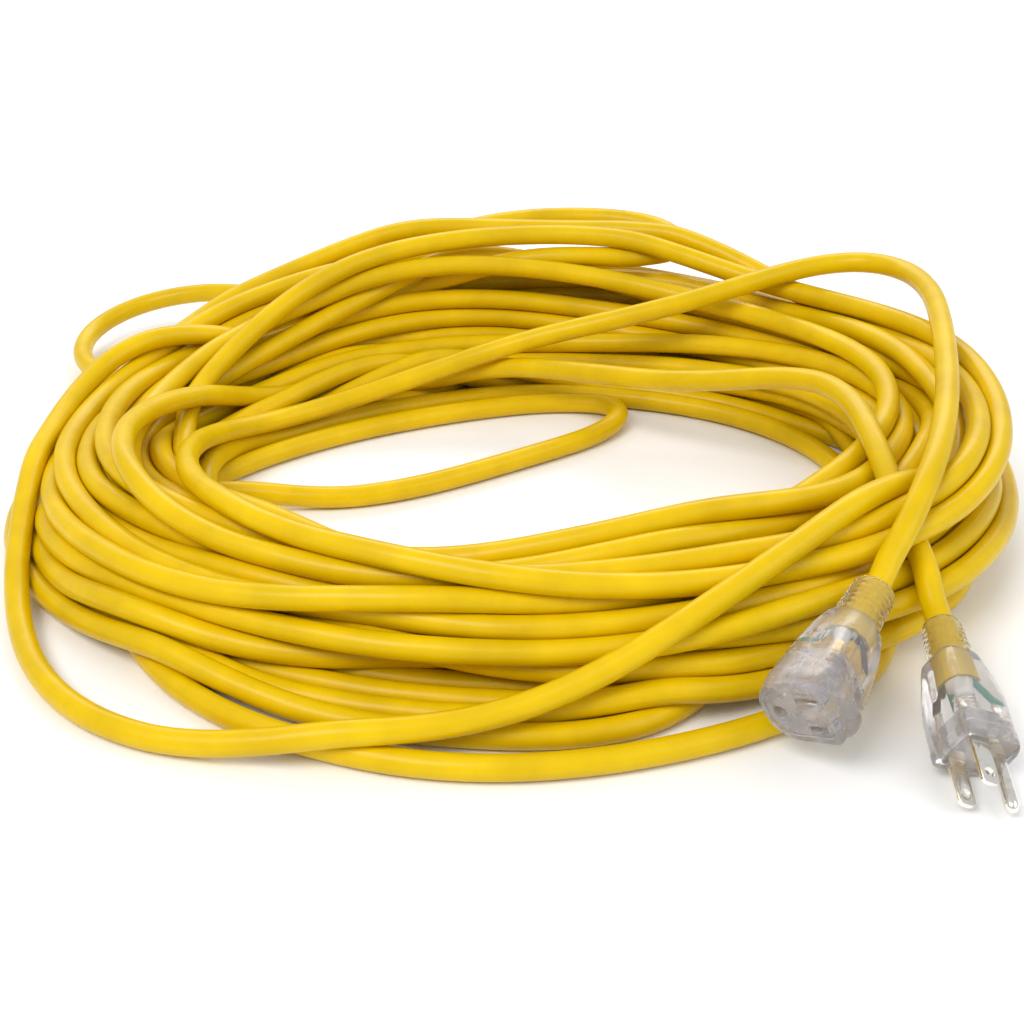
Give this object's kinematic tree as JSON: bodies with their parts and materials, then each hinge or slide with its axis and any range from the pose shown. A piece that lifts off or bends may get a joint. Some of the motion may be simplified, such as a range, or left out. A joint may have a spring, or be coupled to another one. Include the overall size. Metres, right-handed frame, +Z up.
{
  "type": "extension cord",
  "caption": "Coiled grounded outdoor extension cord with a moulded clear plug and a lighted clear connector, lying loosely wound on the floor",
  "frame": {"origin": "on the floor, under the middle of the whole object's box", "axes": "+X to the right along the coil's long diameter, towards the side where both ends lie; +Y to the coil's far side, away from the plug and connector; +Z up"},
  "size_m": [0.4364, 0.3943, 0.0777],
  "materials": {
    "jacket": "bright yellow soft PVC jacket with a low sheen",
    "clear_pvc": "clear moulded PVC with a faint violet-grey tint",
    "insert": "milky moulded plastic",
    "carrier": "hazy clear rigid plastic",
    "blades": "nickel-plated brass, slightly warm",
    "contacts": "bright brass strip",
    "wire_black": "black PVC insulation",
    "wire_white": "white PVC insulation",
    "wire_green": "green PVC insulation",
    "lamp": "small neon lamp glass",
    "resistor": "lacquered resistor body",
    "leads": "tinned copper wire"
  },
  "bodies": {
    "root": {"cord_coil": "jacket", "cord_left_front_loop": "jacket", "cord_front_loop": "jacket", "cord_inner_kink": "jacket", "cord_back_left_loop": "jacket", "cord_top_back_loop": "jacket", "cord_plug_tail": "jacket", "cord_connector_tail": "jacket", "plug_strain_relief": "clear_pvc", "plug_body": "clear_pvc", "plug_insert": "insert", "plug_line_blade": "blades", "plug_neutral_blade": "blades", "plug_ground_pin": "blades", "plug_line_wire": "wire_black", "plug_neutral_wire": "wire_white", "plug_ground_wire": "wire_green", "connector_strain_relief": "clear_pvc", "connector_body": "clear_pvc", "connector_contact_carrier": "carrier", "connector_line_contact": "contacts", "connector_neutral_contact": "contacts", "connector_ground_contact": "contacts", "connector_line_wire": "wire_black", "connector_neutral_wire": "wire_white", "connector_ground_wire": "wire_green", "indicator_lamp": "lamp", "indicator_resistor": "resistor", "indicator_link_lead": "leads"}
  },
  "joints": []
}
